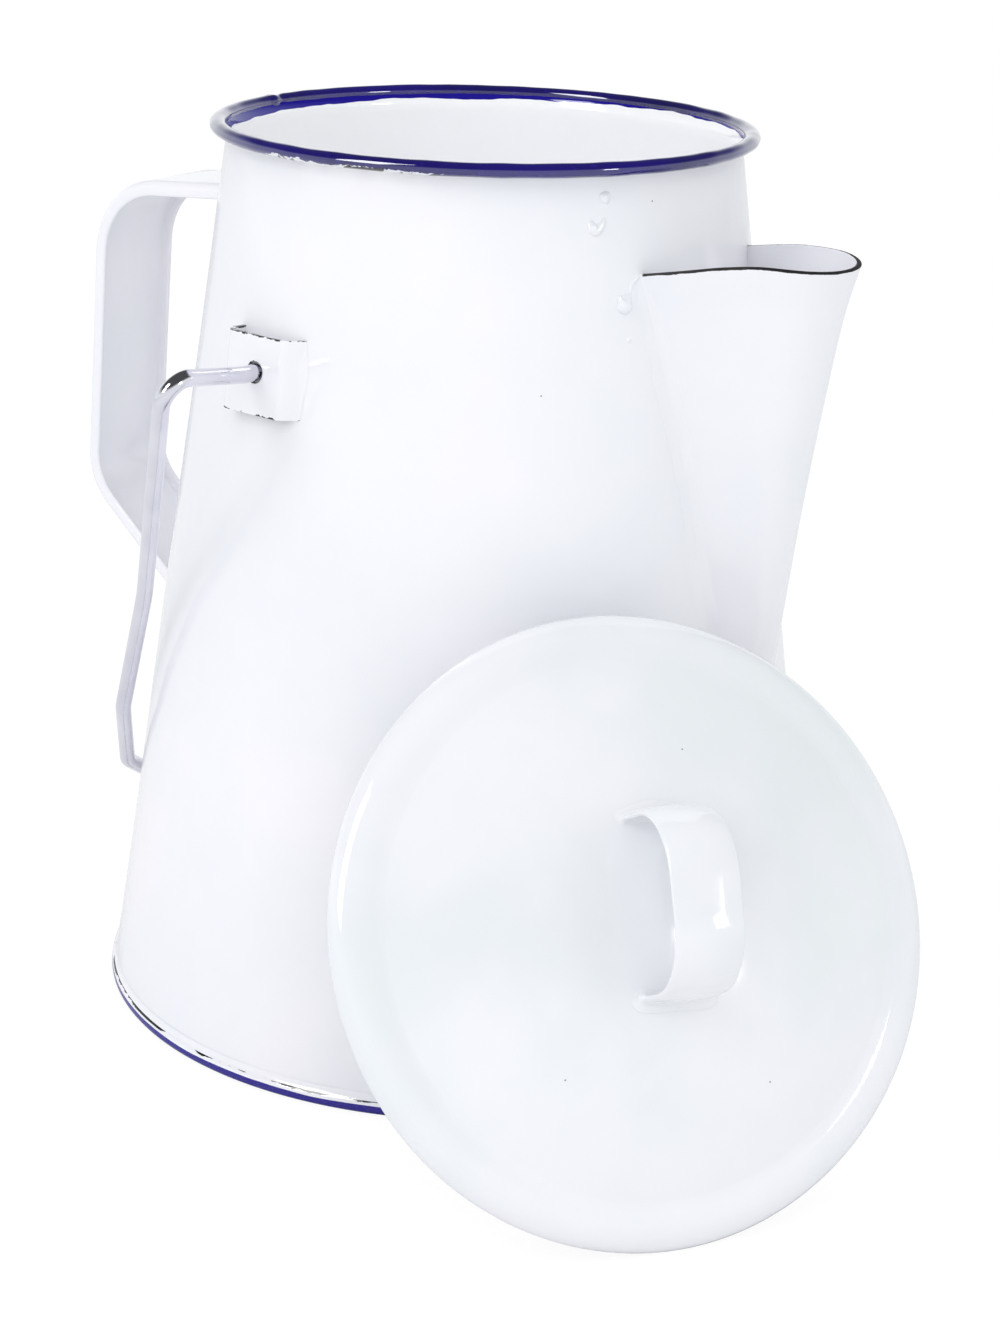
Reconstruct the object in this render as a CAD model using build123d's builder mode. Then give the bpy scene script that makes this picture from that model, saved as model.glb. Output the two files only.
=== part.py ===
"""Enamel tea kettle: conical pot, folded spout, strap handle, wire bail and a lid leaning on the wall.

Millimetres, +Z up. The origin is the centre of the base on the floor. The spout points along +X,
the strap handle along -X, and the ears of the wire bail stand on the -Y and +Y sides.
"""
import os
from math import acos, asin, atan, atan2, cos, degrees, hypot, pi, radians, sin, sqrt

from build123d import *

os.makedirs("parts", exist_ok=True)

sheet = 1.2                    # steel sheet with its enamel, the same in every pressed piece

# Pot
foot_radius = 92.46            # outer radius of the wall, carried down to the floor
wall_taper = 0.13778           # radius lost for each millimetre of height
bead_height = 220              # to the middle of the bead
bead_overhang = 2.35           # from the line of the wall out to the middle of the bead
bead_thickness = 3.3
flare_length = 3.2             # the wall turns out to the bead over this height

# Base pan
pan_flange = 3.2
pan_corner = 1.5

# Strainer holes behind the spout
strainer_hole = 5
strainer_pitch = 11
strainer_rows = 7
strainer_drop = 116            # lowest row below the middle of the bead

# Spout sections: drop below the bead, ridge beyond the wall, nose radius, half width at the root, swell of
# the wings
spout_root = 7                 # every section starts this far inside the wall at the rim
spout_levels = [
    (158, -1.9, 18.0, 24.0, 0.0),
    (130, 5.6, 12.0, 23.0, 0.0),
    (104, 12.6, 8.0, 22.6, 0.0),
    (78, 19.3, 9.0, 20.2, 0.0),
    (54, 26.0, 11.0, 21.8, 0.6),
    (33, 32.3, 13.4, 23.4, 2.0),
    (21, 37.0, 16.5, 24.8, 3.8),
    (12, 41.2, 18.5, 25.6, 4.4),
]
# Rim of the spout as seen from the side: distance beyond the wall and drop below the bead
spout_rim = [(-13, 25.6), (-5, 24.4), (5, 22.7), (15, 21.0), (25, 20.3), (39, 21.4)]

# Strap handle: its outer face as seen from the side, distance beyond the wall and drop below the bead
handle_width = 27.3
handle_lip = 4                 # depth of the turned edges
handle_edge = 2                # radius of the rolled corner between strap and lip
handle_path_points = [(0, 20.2), (49.7, 24.1), (43.9, 107.2), (0, 141.6)]
handle_bends = [22, 18]
handle_root = 9                # each end is drawn this far into the wall, then cut to it

# Ears: plan of the outer face at the lower edge, X and distance beyond the wall
ear_height = 18.2
ear_drop = 9.7                 # lower edge of the ear below the pivot
ear_plan = [(2.0, -2.4), (-4.7, 3.4), (-23.9, 1.5), (-22.0, -8.4)]
ear_bend = 1.6
ear_hole = 6.5
pivot_x = -13
pivot_z = 170

# Bail: corners of one half, distance beyond the wall at the pivot and distance along the hanging wire
wire = 4
wire_gap = 0.3                 # between the resting wire and the wall
bail_half = [(0, 0), (6, 0), (37, -5.5), (4, 69), (-10.6, 112.4), (-25.2, 137.4)]
bail_bends = [12, 5, 60, 15, 8]
crown_reach = 160              # from the pivot to the middle of the wire at the crown
crown_narrowing = 6.14         # radius of the crown's bend, less than half the span of the wire above it

# Lid: a dome, creased above the collar, and a brim that rolls down to the edge
lid_overhang = 5.9             # edge of the lid beyond the middle of the bead
collar_clearance = 4.5         # collar inside the middle of the bead
collar_depth = 18              # below the lower plane of the edge
dome_height = 17               # above the lower plane of the edge
dome_radius = 162
brim = [(0.48, 0.93), (0.86, 0.58)]    # shares of the brim's width and of the crease's height

# Lid as it leans on the wall
lid_tilt = 28.2                # the lid's axis above level
lid_bearing = -37.2            # where the lid stands round the pot
lid_facing = -33.9             # where the lid faces
lid_gap = 0.4

# Lid knob: a bent strap
knob_length = 42
knob_width = 16
knob_height = 23
knob_corner = 16
knob_crown = 1                 # swell of the strap's outer face across its width
knob_edge = 0.5                # rounding of its long edges
knob_root = 4                  # each foot is drawn this far into the dome, then cut to it
knob_turn = 3.2                # from the steepest line of the lid
knob_offset = (1.5, 3.5)       # across and up the lid, from its centre

wall_lean = atan(wall_taper)
wall_cut = sheet / cos(wall_lean)


def wall_radius(z):
    """Outer radius of the conical wall at a height."""
    return foot_radius - wall_taper * z


flare_height = bead_height - flare_length
ear_bottom = pivot_z - ear_drop
bead_radius = wall_radius(bead_height) + bead_overhang
spout_height = bead_height - spout_levels[-2][0]
lid_radius = bead_radius + lid_overhang
collar_radius = bead_radius - collar_clearance

# The wall is one sheet from the base pan to the mouth, where it flares and rolls outward into the bead.
with BuildPart() as body_wall:
    with BuildSketch(Plane.XZ):
        with BuildLine():
            Polyline(
                (wall_radius(sheet) - wall_cut, sheet),
                (wall_radius(sheet), sheet),
                (wall_radius(flare_height), flare_height),
                (bead_radius - sheet, bead_height - sheet),
                (bead_radius, bead_height),
                (bead_radius - 2 * sheet, bead_height - sheet),
                (wall_radius(flare_height) - wall_cut, flare_height),
                close=True,
            )
        make_face()
        with Locations((bead_radius, bead_height)):
            Circle(bead_thickness / 2)
    revolve(axis=Axis.Z)
    for row in range(strainer_rows):
        holes = 2 + row % 2
        row_plane = Plane(
            origin=(0, 0, bead_height - strainer_drop + row * strainer_pitch * sin(radians(60))),
            x_dir=(0, 1, 0),
            z_dir=(1, 0, 0),
        )
        with BuildSketch(row_plane):
            with GridLocations(strainer_pitch, strainer_pitch, holes, 1):
                Circle(strainer_hole / 2)
        extrude(amount=foot_radius, mode=Mode.SUBTRACT)
body_wall.part.label = "body_wall"
export_step(body_wall.part, "parts/body_wall.step")

# The base pan carries the wall on its disc and grips it with a short flange.
with BuildPart() as base_pan:
    with BuildSketch(Plane.XZ):
        with BuildLine():
            pan_radius = wall_radius(sheet) + sheet
            Line((0, sheet), (0, 0))
            Line((0, 0), (pan_radius - pan_corner, 0))
            CenterArc((pan_radius - pan_corner, pan_corner), pan_corner, -90, 90)
            Polyline(
                (pan_radius, pan_corner),
                (wall_radius(pan_flange) + sheet, pan_flange),
                (wall_radius(pan_flange), pan_flange),
                (wall_radius(sheet), sheet),
                (0, sheet),
            )
        make_face()
    revolve(axis=Axis.Z)
base_pan.part.label = "base_pan"
export_step(base_pan.part, "parts/base_pan.step")


def spout_section(height, stand, nose, root_half, wing, inset):
    """Half of one level outline: root, two control points and the tangent point, then the nose."""
    centre = wall_radius(height) + stand - nose
    inner = wall_radius(spout_height) - spout_root
    to_root = hypot(centre - inner, root_half)
    turn = atan2(root_half, inner - centre) - acos(nose / to_root)
    nose = nose - inset
    touch = Vector(centre + nose * cos(turn), nose * sin(turn))
    root = Vector(inner, root_half - inset / sin(turn))
    first = root + (touch - root) / 3 + Vector(wing, wing)
    second = root + (touch - root) * 2 / 3 - Vector(0, wing / 5)
    return root, first, second, touch, Vector(centre + nose, 0)


# The spout is a folded gutter, drawn as level sections that grow from the wall up to the pouring lip.
with BuildPart() as spout:
    for inset, mode in ((0, Mode.ADD), (sheet, Mode.SUBTRACT)):
        for drop, stand, nose, root_half, wing in spout_levels:
            height = bead_height - drop
            root, first, second, touch, tip = spout_section(height, stand, nose, root_half, wing, inset)
            with BuildSketch(Plane.XY.offset(height)):
                with BuildLine():
                    Bezier(root, first, second, touch)
                    ThreePointArc(touch, tip, (touch.X, -touch.Y))
                    Bezier(
                        (touch.X, -touch.Y),
                        (second.X, -second.Y),
                        (first.X, -first.Y),
                        (root.X, -root.Y),
                    )
                    Line((root.X, -root.Y), root)
                make_face()
        loft(mode=mode)
    Cone(
        foot_radius,
        wall_radius(bead_height),
        bead_height,
        align=(Align.CENTER, Align.CENTER, Align.MIN),
        mode=Mode.SUBTRACT,
    )
    rim = [(wall_radius(spout_height) + stand, bead_height - drop) for stand, drop in spout_rim]
    with BuildSketch(Plane.XZ):
        with BuildLine():
            Spline(*rim)
            beyond = rim[-1][0] + spout_root
            Polyline(rim[-1], (beyond, rim[-1][1]), (beyond, bead_height), (rim[0][0], bead_height), rim[0])
        make_face()
    extrude(amount=foot_radius, both=True, mode=Mode.SUBTRACT)
spout.part.label = "spout"
export_step(spout.part, "parts/spout.step")

# The handle is a strap whose long edges are turned in toward the hand; both ends butt on the wall.
with BuildPart() as handle_strap:
    corners = [
        Vector(-wall_radius(bead_height - drop) - stand, bead_height - drop)
        for stand, drop in handle_path_points
    ]
    top_end = corners[0] + (corners[0] - corners[1]).normalized() * handle_root
    foot_end = corners[3] + (corners[3] - corners[2]).normalized() * handle_root
    with BuildLine(Plane.XZ) as handle_path:
        FilletPolyline(
            *[(point.X, point.Y) for point in (top_end, corners[1], corners[2], foot_end)],
            radius=handle_bends,
        )
    end_plane = Plane(
        origin=handle_path.line @ 0,
        x_dir=(0, 1, 0),
        z_dir=handle_path.line % 0,
    )
    with BuildSketch(end_plane):
        with Locations((0, handle_lip / 2)):
            band = Rectangle(handle_width, handle_lip)
        fillet(band.vertices().group_by(Axis.Y)[0], handle_edge)
        with BuildSketch(mode=Mode.SUBTRACT):
            with Locations((0, sheet + handle_lip / 2)):
                hollow = Rectangle(handle_width - 2 * sheet, handle_lip)
            fillet(hollow.vertices().group_by(Axis.Y)[0], handle_edge - sheet)
    sweep(path=handle_path.line)
    Cone(
        foot_radius,
        wall_radius(bead_height),
        bead_height,
        align=(Align.CENTER, Align.CENTER, Align.MIN),
        mode=Mode.SUBTRACT,
    )
handle_strap.part.label = "handle_strap"
export_step(handle_strap.part, "parts/handle_strap.step")

# Each ear is a bent strap that stands off the wall and leans with it, pierced for the end of the wire.
with BuildPart() as ear_near:
    with BuildSketch(Plane.XY.offset(ear_bottom)):
        with BuildLine():
            ear_corners = [(x, -wall_radius(ear_bottom) - stand) for x, stand in ear_plan]
            ear_face = FilletPolyline(*ear_corners, radius=ear_bend)
            offset(ear_face, amount=sheet, side=Side.RIGHT)
        make_face()
    extrude(amount=ear_height / cos(wall_lean), dir=(0, wall_taper, 1))
    with BuildSketch(Plane.XZ):
        with Locations((pivot_x, pivot_z)):
            Circle(ear_hole / 2)
    extrude(amount=foot_radius, mode=Mode.SUBTRACT)
    Cone(
        foot_radius,
        wall_radius(bead_height),
        bead_height,
        align=(Align.CENTER, Align.CENTER, Align.MIN),
        mode=Mode.SUBTRACT,
    )
ear_near.part.label = "ear_near"
export_step(ear_near.part, "parts/ear_near.step")

with BuildPart() as ear_far:
    mirror(ear_near.part, about=Plane.XZ)
ear_far.part.label = "ear_far"
export_step(ear_far.part, "parts/ear_far.step")

# The bail is one wire in one plane, hanging from the ears until its crown rests against the wall.
hang_room = pivot_x + wall_radius(pivot_z) + (wire / 2 + wire_gap) / cos(wall_lean)
bail_tilt = wall_lean + asin(hang_room * cos(wall_lean) / crown_reach)
with BuildPart() as bail:
    bail_plane = Plane(
        origin=(pivot_x, 0, pivot_z),
        x_dir=(0, 1, 0),
        z_dir=(-cos(bail_tilt), 0, sin(bail_tilt)),
    )
    half = [(wall_radius(pivot_z) + stand, along) for stand, along in bail_half]
    crown_bend = half[-1][0] - crown_narrowing
    apex = crown_reach
    for step in range(40):
        flank = atan2(half[-1][0], apex - half[-1][1])
        apex = crown_reach + crown_bend * (1 / sin(flank) - 1)
    with BuildLine(bail_plane) as bail_path:
        FilletPolyline(
            *half,
            (0, apex),
            *[(-across, along) for across, along in reversed(half)],
            radius=[*bail_bends, crown_bend, *reversed(bail_bends)],
        )
    with BuildSketch(Plane(origin=bail_path.line @ 0, z_dir=bail_path.line % 0)):
        Circle(wire / 2)
    sweep(path=bail_path.line)
bail.part.label = "bail"
export_step(bail.part, "parts/bail.step")

# The lid stands on the floor beside the spout and leans back until its collar rests against the wall.
# Its own plane starts at the lower plane of the edge: Z along the lid's axis, Y up the slope.
lean = radians(lid_tilt)
collar_height = lid_radius * cos(lean) - collar_depth * sin(lean) + collar_radius * cos(lean)
lid_distance = (
    foot_radius
    - wall_taper * collar_height
    + lid_gap / cos(wall_lean)
    + collar_depth * cos(lean)
    + collar_radius * sin(lean)
)
bearing = radians(lid_bearing)
facing = radians(lid_facing)
lid_plane = Plane(
    origin=(lid_distance * cos(bearing), lid_distance * sin(bearing), lid_radius * cos(lean)),
    x_dir=(-sin(facing), cos(facing), 0),
    z_dir=(cos(lean) * cos(facing), cos(lean) * sin(facing), sin(lean)),
)
lid_axis = Axis(lid_plane.origin, lid_plane.z_dir)
lid_section = Plane(
    origin=lid_plane.origin,
    x_dir=lid_plane.x_dir,
    z_dir=lid_plane.x_dir.cross(lid_plane.z_dir),
)
dome_centre = dome_height - dome_radius


def dome_level(radius, inset):
    """Height of the dome's surface, or of a surface that far below it, at a distance from the axis."""
    return dome_centre + sqrt((dome_radius - inset) ** 2 - radius ** 2)


# The dish is a shallow dome, creased where the collar meets it, with a brim that rolls down to the edge.
with BuildPart() as lid_dish:
    brim_width = lid_radius - collar_radius
    crease_level = dome_level(collar_radius, 0)
    swell = [(collar_radius + brim_width * share, crease_level * level) for share, level in brim]
    with BuildSketch(lid_section):
        with BuildLine():
            ThreePointArc(
                (0, dome_height),
                (collar_radius / 2, dome_level(collar_radius / 2, 0)),
                (collar_radius, crease_level),
            )
            Spline((collar_radius, crease_level), *swell, (lid_radius, 0), tangents=[(1, 0.05), (0.15, -1)])
            Line((lid_radius, 0), (lid_radius - sheet, 0))
            Spline(
                (lid_radius - sheet, 0),
                (swell[1][0] - sheet * 0.7, swell[1][1] - sheet * 0.75),
                (swell[0][0] - sheet * 0.2, swell[0][1] - sheet),
                (collar_radius, dome_level(collar_radius, sheet)),
            )
            ThreePointArc(
                (collar_radius, dome_level(collar_radius, sheet)),
                (collar_radius / 2, dome_level(collar_radius / 2, sheet)),
                (0, dome_height - sheet),
            )
            Line((0, dome_height - sheet), (0, dome_height))
        make_face()
    revolve(axis=lid_axis)
lid_dish.part.label = "lid_dish"
export_step(lid_dish.part, "parts/lid_dish.step")

# The collar is a deep straight ring under the dish that drops into the mouth of the pot.
with BuildPart() as lid_collar:
    with BuildSketch(lid_section):
        with BuildLine():
            Polyline(
                (collar_radius, -collar_depth),
                (collar_radius, dome_level(collar_radius, sheet)),
                (collar_radius - sheet, dome_level(collar_radius - sheet, sheet)),
                (collar_radius - sheet, -collar_depth),
                close=True,
            )
        make_face()
    revolve(axis=lid_axis)
lid_collar.part.label = "lid_collar"
export_step(lid_collar.part, "parts/lid_collar.step")

# The knob is a strap with a swollen outer face, bent into a flat-topped loop, its feet cut to the dome.
with BuildPart() as lid_knob:
    across, up = knob_offset
    turn = radians(knob_turn)
    knob_run = lid_plane.x_dir * sin(turn) + lid_plane.y_dir * cos(turn)
    knob_plane = Plane(
        origin=lid_plane.origin + lid_plane.x_dir * across + lid_plane.y_dir * up,
        x_dir=knob_run,
        z_dir=knob_run.cross(lid_plane.z_dir),
    )
    knob_top = dome_height + knob_height
    with BuildLine(knob_plane) as knob_path:
        FilletPolyline(
            (-knob_length / 2, dome_height - knob_root),
            (-knob_length / 2, knob_top),
            (knob_length / 2, knob_top),
            (knob_length / 2, dome_height - knob_root),
            radius=knob_corner,
        )
    foot_plane = Plane(origin=knob_path.line @ 0, x_dir=knob_plane.z_dir, z_dir=knob_path.line % 0)
    with BuildSketch(foot_plane):
        with BuildLine():
            outer_face = ThreePointArc((-knob_width / 2, knob_crown), (0, 0), (knob_width / 2, knob_crown))
            offset(outer_face, amount=sheet, side=Side.LEFT)
        strap = make_face()
        fillet(strap.vertices(), knob_edge)
    sweep(path=knob_path.line)
    with Locations(lid_plane.offset(dome_centre)):
        Sphere(dome_radius, mode=Mode.SUBTRACT)
lid_knob.part.label = "lid_knob"
export_step(lid_knob.part, "parts/lid_knob.step")
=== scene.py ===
from math import acos, asin, atan, atan2, cos, hypot, pi, radians, sin, sqrt, tan

import bmesh
import bpy
from mathutils import Matrix, Vector, noise


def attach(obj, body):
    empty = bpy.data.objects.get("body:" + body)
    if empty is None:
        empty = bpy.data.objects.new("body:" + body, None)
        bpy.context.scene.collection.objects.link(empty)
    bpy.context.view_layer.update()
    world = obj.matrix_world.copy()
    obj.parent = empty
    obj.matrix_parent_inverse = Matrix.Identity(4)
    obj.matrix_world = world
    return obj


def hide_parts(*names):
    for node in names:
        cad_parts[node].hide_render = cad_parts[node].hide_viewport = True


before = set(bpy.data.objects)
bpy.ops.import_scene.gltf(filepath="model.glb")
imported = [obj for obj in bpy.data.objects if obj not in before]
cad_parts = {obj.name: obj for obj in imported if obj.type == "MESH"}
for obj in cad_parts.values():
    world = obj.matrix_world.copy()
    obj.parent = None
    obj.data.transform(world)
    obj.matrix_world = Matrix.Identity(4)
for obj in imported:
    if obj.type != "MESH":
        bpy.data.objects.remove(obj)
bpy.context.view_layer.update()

# Pot wall: one sheet of mild steel rolled to a cone, flared at the mouth, pierced behind the spout,
# then dipped and fired in white glass enamel. Its foot stands on the base pan.
foot_radius = 92.46
wall_taper = 0.13778
sheet = 1.2
bead_height = 220.0
bead_middle = 64.5


def linear(code):
    """An sRGB hex colour as the linear colour of a shader socket."""
    parts = [int(code[i:i + 2], 16) / 255 for i in (1, 3, 5)]
    return [c / 12.92 if c <= 0.04045 else ((c + 0.055) / 1.055) ** 2.4 for c in parts] + [1.0]


def add(tree, kind, links, **settings):
    """One node with its settings, each input linked to a socket or set to a value."""
    node = tree.nodes.new(kind)
    for key, value in settings.items():
        setattr(node, key, value)
    for key, value in links.items():
        if isinstance(value, bpy.types.NodeSocket):
            tree.links.new(value, node.inputs[key])
        else:
            node.inputs[key].default_value = value
    return node


def wall_radius(z):
    """Outer radius of the cone at a height, in millimetres."""
    return foot_radius - wall_taper * z


# Blender draws this noise from the clock unless it is seeded, and then each run would differ.
noise.seed_set(7)


def hammered(point, depth=0.22):
    """A point moved by the slow unevenness that rolling and firing leave in thin sheet."""
    return point + noise.noise_vector(point / 62.0) * depth


def pressed(name, points, faces, material, sharp=40, gaps=None):
    """A smooth piece from points in millimetres, with its distance to a raw edge kept on each point."""
    mesh = bpy.data.meshes.new(name)
    mesh.from_pydata([Vector(p) / 1000 for p in points], [], faces)
    mesh.materials.append(material)
    if gaps:
        mesh.attributes.new("edge_gap", "FLOAT", "POINT").data.foreach_set("value", gaps)
    piece = bpy.data.objects.new(name, mesh)
    bpy.context.collection.objects.link(piece)
    work = bmesh.new()
    work.from_mesh(mesh)
    bmesh.ops.remove_doubles(work, verts=work.verts, dist=1e-7)
    bmesh.ops.recalc_face_normals(work, faces=work.faces)
    work.to_mesh(mesh)
    work.free()
    mesh.shade_smooth()
    mesh.set_sharp_from_angle(angle=radians(sharp))
    return piece


def turned(outline, count, place=None, rough=0.0):
    """Points and faces turned from a closed outline of (radius, height), poles closed."""
    points, faces, rings = [], [], []
    for r, z in outline:
        ring = []
        for i in range(1 if r < 1e-6 else count):
            p = Vector((r * cos(2 * pi * i / count), r * sin(2 * pi * i / count), z))
            p = hammered(p, rough) if rough else p
            ring.append(len(points))
            points.append(place @ p if place else p)
        rings.append(ring)
    for a, b in zip(rings, rings[1:] + rings[:1]):
        for i in range(count):
            quad = [a[i % len(a)], a[(i + 1) % len(a)], b[(i + 1) % len(b)], b[i % len(b)]]
            quad = [v for n, v in enumerate(quad) if v not in quad[:n]]
            if len(quad) > 2:
                faces.append(quad)
    return points, faces


def arc(x, z, r, start, end, count):
    """Points of an arc in an outline, from one angle in degrees to another."""
    turns = [radians(start + (end - start) * i / count) for i in range(count + 1)]
    return [(x + r * cos(t), z + r * sin(t)) for t in turns]


def swept(frames, section, closed=False):
    """Points and faces of a section carried along frames of (point, across, up), ends closed or joined."""
    points = [p + a * x + b * y for p, a, b in frames for x, y in section]
    n, faces = len(section), []
    for i in range(len(frames) if closed else len(frames) - 1):
        j = (i + 1) % len(frames)
        faces += [(i * n + k, i * n + (k + 1) % n, j * n + (k + 1) % n, j * n + k) for k in range(n)]
    if not closed:
        faces += [tuple(range(n)), tuple(reversed(range((len(frames) - 1) * n, len(frames) * n)))]
    return points, faces


def through(rows, at):
    """A smooth curve through rows of numbers, read at a value of the first column."""
    i = max(0, min(len(rows) - 2, sum(1 for row in rows if row[0] <= at) - 1))
    a, b = rows[i], rows[i + 1]
    before, after = rows[max(i - 1, 0)], rows[min(i + 2, len(rows) - 1)]
    t = (at - a[0]) / (b[0] - a[0])
    out = []
    for n in range(1, len(a)):
        slope_a = (b[n] - before[n]) / (b[0] - before[0]) * (b[0] - a[0])
        slope_b = (after[n] - a[n]) / (after[0] - a[0]) * (b[0] - a[0])
        out.append(a[n] * (2 * t ** 3 - 3 * t ** 2 + 1) + slope_a * (t ** 3 - 2 * t ** 2 + t)
                   + b[n] * (3 * t ** 2 - 2 * t ** 3) + slope_b * (t ** 3 - t ** 2))
    return out


def settled(piece):
    """The piece with its modifiers turned into plain mesh."""
    graph = bpy.context.evaluated_depsgraph_get()
    mesh = bpy.data.meshes.new_from_object(piece.evaluated_get(graph))
    piece.modifiers.clear()
    piece.data = mesh
    return piece


def flawed(tree, place, under, spots, size=0.0002):
    """The colour with dark pinholes, where gas broke through the glass, at chosen places in metres."""
    for spot in spots:
        away = add(tree, "ShaderNodeVectorMath", {0: place, 1: spot}, operation="DISTANCE")
        near = add(tree, "ShaderNodeMath", {0: away.outputs["Value"], 1: size}, operation="LESS_THAN")
        under = add(tree, "ShaderNodeMix", {"Factor": near.outputs[0], "A": under, "B": linear("#8C8C96")},
                    data_type="RGBA").outputs["Result"]
    return under


def vitreous_enamel(name, thick, thin):
    """Fired glass on steel: colour pools and thins, the skin has long ripples and a few black pinholes."""
    material = bpy.data.materials.new(name)
    material.use_nodes = True
    tree = material.node_tree
    shader = tree.nodes["Principled BSDF"]
    shader.inputs["IOR"].default_value = 1.56
    place = add(tree, "ShaderNodeTexCoord", {}).outputs["Object"]
    pool = add(tree, "ShaderNodeTexNoise", {"Vector": place, "Scale": 22.0, "Detail": 3.0})
    depth = add(tree, "ShaderNodeMapRange",
                {"Value": pool.outputs["Fac"], "From Min": 0.36, "From Max": 0.66})
    glass = add(tree, "ShaderNodeMix",
                {"Factor": depth.outputs["Result"], "A": linear(thin), "B": linear(thick)},
                data_type="RGBA")
    cell = add(tree, "ShaderNodeTexVoronoi", {"Vector": place, "Scale": 34.0, "Randomness": 1.0})
    luck = add(tree, "ShaderNodeSeparateColor", {"Color": cell.outputs["Color"]})
    rare = add(tree, "ShaderNodeMath", {0: luck.outputs["Red"], 1: 0.88}, operation="GREATER_THAN")
    size = add(tree, "ShaderNodeMapRange", {"Value": luck.outputs["Green"], "To Min": 0.006, "To Max": 0.017})
    near = add(tree, "ShaderNodeMath", {0: cell.outputs["Distance"], 1: size.outputs["Result"]},
               operation="LESS_THAN")
    hole = add(tree, "ShaderNodeMath", {0: near.outputs[0], 1: rare.outputs[0]}, operation="MULTIPLY")
    coat = add(tree, "ShaderNodeMix",
               {"Factor": hole.outputs[0], "A": glass.outputs["Result"], "B": linear("#2A2A2E")},
               data_type="RGBA")
    tree.links.new(coat.outputs["Result"], shader.inputs["Base Color"])
    gloss = add(tree, "ShaderNodeMapRange",
                {"Value": pool.outputs["Fac"], "From Min": 0.3, "From Max": 0.7, "To Min": 0.05,
                 "To Max": 0.10})
    tree.links.new(gloss.outputs["Result"], shader.inputs["Roughness"])
    peel = add(tree, "ShaderNodeTexNoise", {"Vector": place, "Scale": 95.0, "Detail": 1.5})
    swell = add(tree, "ShaderNodeTexNoise", {"Vector": place, "Scale": 26.0, "Detail": 2.0})
    skin = add(tree, "ShaderNodeBump", {"Height": peel.outputs["Fac"], "Distance": 0.00006, "Strength": 0.5})
    waves = add(tree, "ShaderNodeBump",
                {"Height": swell.outputs["Fac"], "Distance": 0.0004, "Strength": 0.5,
                 "Normal": skin.outputs["Normal"]})
    tree.links.new(waves.outputs["Normal"], shader.inputs["Normal"])
    return material, tree, shader, coat, place


# White titanium enamel: bright and glossy, faintly blue-green where the glass is thin.
white_enamel, *_ = vitreous_enamel("white_vitreous_enamel", "#F7F5FA", "#F1F2F7")

# The same enamel on the wall, with the navy of the rim brushed a few millimetres down the inside. The flare
# carries the inner face outward near the top, so the test for the inside widens there.
wall_enamel, tree, shader, coat, place = vitreous_enamel("white_vitreous_enamel_wall", "#F7F5FA", "#F1F2F7")
axes = add(tree, "ShaderNodeSeparateXYZ", {"Vector": place})
wander = add(tree, "ShaderNodeTexNoise", {"Vector": place, "Scale": 48.0, "Detail": 3.0, "Roughness": 0.55})
lip = add(tree, "ShaderNodeMapRange",
          {"Value": wander.outputs["Fac"], "From Min": 0.3, "From Max": 0.7, "To Min": 0.2192,
           "To Max": 0.2180})
to_right = add(tree, "ShaderNodeVectorMath", {0: place, 1: (0.825, 0.565, 0.0)}, operation="DOT_PRODUCT")
lip = add(tree, "ShaderNodeMath", {0: to_right.outputs["Value"], 1: 0.015, 2: lip.outputs["Result"]},
          operation="MULTIPLY_ADD")
across = add(tree, "ShaderNodeVectorMath", {0: place, 1: (1, 1, 0)}, operation="MULTIPLY")
reach = add(tree, "ShaderNodeVectorMath", {0: across.outputs[0]}, operation="LENGTH")
outer = add(tree, "ShaderNodeMath",
            {0: axes.outputs["Z"], 1: -wall_taper, 2: (foot_radius - sheet / 2) / 1000},
            operation="MULTIPLY_ADD")
flare = bead_height - 3.2
above = add(tree, "ShaderNodeMath", {0: axes.outputs["Z"], 1: flare / 1000}, operation="SUBTRACT")
above = add(tree, "ShaderNodeMath", {0: above.outputs[0], 1: 0.0}, operation="MAXIMUM")
middle = add(tree, "ShaderNodeMath", {0: above.outputs[0], 1: 0.55, 2: outer.outputs[0]},
             operation="MULTIPLY_ADD")
inside = add(tree, "ShaderNodeMath", {0: reach.outputs["Value"], 1: middle.outputs[0]}, operation="LESS_THAN")
high = add(tree, "ShaderNodeMath", {0: axes.outputs["Z"], 1: lip.outputs[0]}, operation="GREATER_THAN")
band = add(tree, "ShaderNodeMath", {0: high.outputs[0], 1: inside.outputs[0]}, operation="MULTIPLY")
wall_flaws = [(-43.2, 170.2), (-18.0, 211.9), (-71.0, 44.0), (140.0, 96.0), (215.0, 150.0)]
spots = [Vector((wall_radius(z) * cos(radians(a)), wall_radius(z) * sin(radians(a)), z)) / 1000
         for a, z in wall_flaws]
white = flawed(tree, place, coat.outputs["Result"], spots)
# Painted light: the whole inner face of the wall is painted a paler white than the outside, standing in for
# light that doesn't reach into the pot.
inside_painted_light = add(tree, "ShaderNodeMix", {"Factor": inside.outputs[0], "A": white, "B": linear("#FCFCFE")},
            data_type="RGBA")
top = add(tree, "ShaderNodeMix",
          {"Factor": band.outputs[0], "A": inside_painted_light.outputs["Result"], "B": linear("#1C1290")},
          data_type="RGBA")
tree.links.new(top.outputs["Result"], shader.inputs["Base Color"])

wall_cut = sheet * sqrt(1 + wall_taper ** 2)
outline = [(wall_radius(z), z) for z in (1.2, 3, 6, 10, *range(16, 208, 8), 210, 213, 215.4, flare)]
outline += [(62.85, 217.9), (63.3, 218.85), (63.6, 219.6), (62.9, 220.0), (62.45, 219.5), (62.0, 218.6),
            (61.62, 217.6)]
outline += [(wall_radius(z) - wall_cut, z) for z in (flare, 215, 212, *range(208, 16, -8), 10, 5, 1.2)]
points, faces = turned(outline, 256, rough=0.22)
pot_wall = pressed("pot_wall", points, faces, wall_enamel)

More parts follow.
